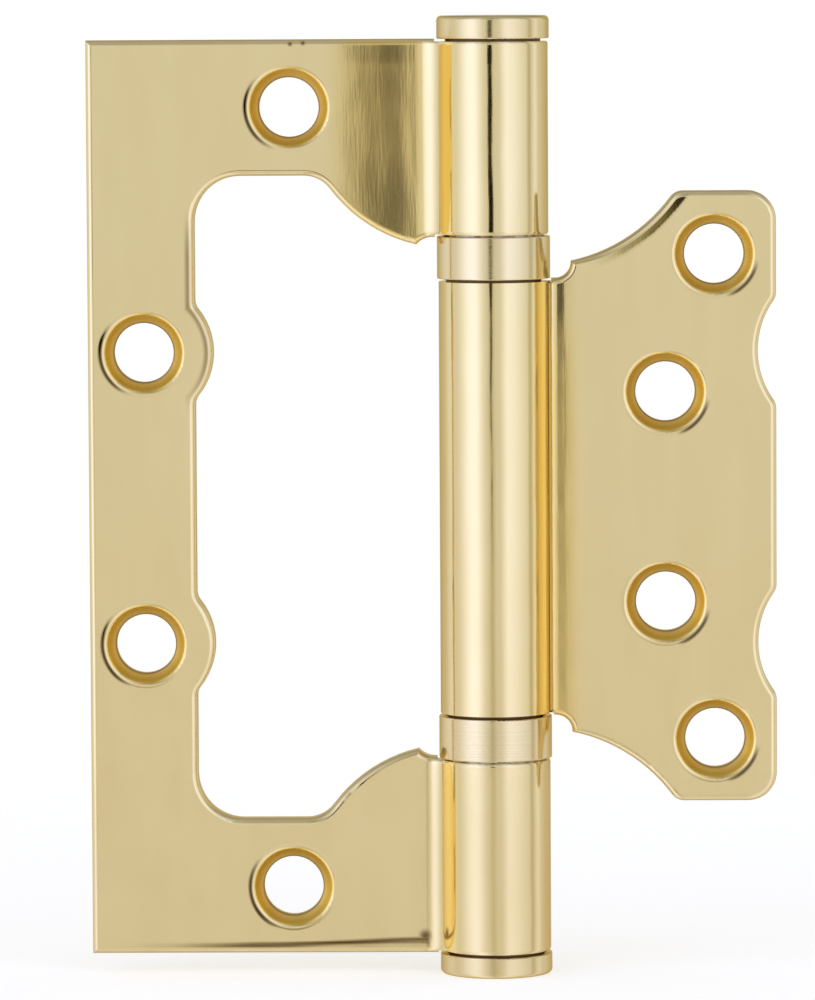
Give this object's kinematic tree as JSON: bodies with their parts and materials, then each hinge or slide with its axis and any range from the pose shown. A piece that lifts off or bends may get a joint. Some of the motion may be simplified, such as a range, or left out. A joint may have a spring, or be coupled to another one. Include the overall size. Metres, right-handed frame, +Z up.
{
  "type": "non-mortise door hinge",
  "caption": "Butterfly door hinge of polished brass-plated steel: the small leaf nests in the window of the large one, on a capped pin with ball bearings between the knuckles.",
  "frame": {"origin": "on the back face of the outer leaf, midway between the two screws in its stile", "axes": "+Z up along the pin, +Y into the wood behind the leaves, +X from the outer leaf's stile to the pin"},
  "size_m": [0.075, 0.0123, 0.1048],
  "materials": {
    "polished_brass": "brass plating on sheet steel, polished, with soft edges",
    "turned_brass": "brass plating on turned steel, with fine turning lines",
    "bearing_steel": "ground and polished hardened steel"
  },
  "bodies": {
    "outer": {"outer_leaf": "polished_brass", "hinge_pin": "turned_brass", "bottom_plug": "turned_brass", "upper_race_washer": "bearing_steel", "lower_race_washer": "bearing_steel"},
    "inner": {"inner_leaf": "polished_brass", "upper_bearing_cup": "turned_brass", "lower_bearing_cup": "turned_brass"},
    "upper_ball_set": {"upper_ball_01": "bearing_steel", "upper_ball_02": "bearing_steel", "upper_ball_03": "bearing_steel", "upper_ball_04": "bearing_steel", "upper_ball_05": "bearing_steel", "upper_ball_06": "bearing_steel", "upper_ball_07": "bearing_steel", "upper_ball_08": "bearing_steel", "upper_ball_09": "bearing_steel", "upper_ball_10": "bearing_steel", "upper_ball_11": "bearing_steel", "upper_ball_12": "bearing_steel"},
    "lower_ball_set": {"lower_ball_01": "bearing_steel", "lower_ball_02": "bearing_steel", "lower_ball_03": "bearing_steel", "lower_ball_04": "bearing_steel", "lower_ball_05": "bearing_steel", "lower_ball_06": "bearing_steel", "lower_ball_07": "bearing_steel", "lower_ball_08": "bearing_steel", "lower_ball_09": "bearing_steel", "lower_ball_10": "bearing_steel", "lower_ball_11": "bearing_steel", "lower_ball_12": "bearing_steel"}
  },
  "joints": [
    {"name": "leaf_swing", "type": "hinge", "parent": "outer", "child": "inner", "pos_m": [0.0382, -0.00125, 0], "axis": [0, 0, 1], "range_deg": [-180, 180]},
    {"name": "upper_ball_orbit", "type": "hinge", "parent": "outer", "child": "upper_ball_set", "pos_m": [0.0382, -0.00125, 0], "axis": [0, 0, 1], "range_deg": [-90, 90]},
    {"name": "lower_ball_orbit", "type": "hinge", "parent": "outer", "child": "lower_ball_set", "pos_m": [0.0382, -0.00125, 0], "axis": [0, 0, 1], "range_deg": [-90, 90]}
  ],
  "couplings": [
    {"joint": "upper_ball_orbit", "follows": "leaf_swing", "ratio": 0.5},
    {"joint": "lower_ball_orbit", "follows": "leaf_swing", "ratio": 0.5}
  ]
}
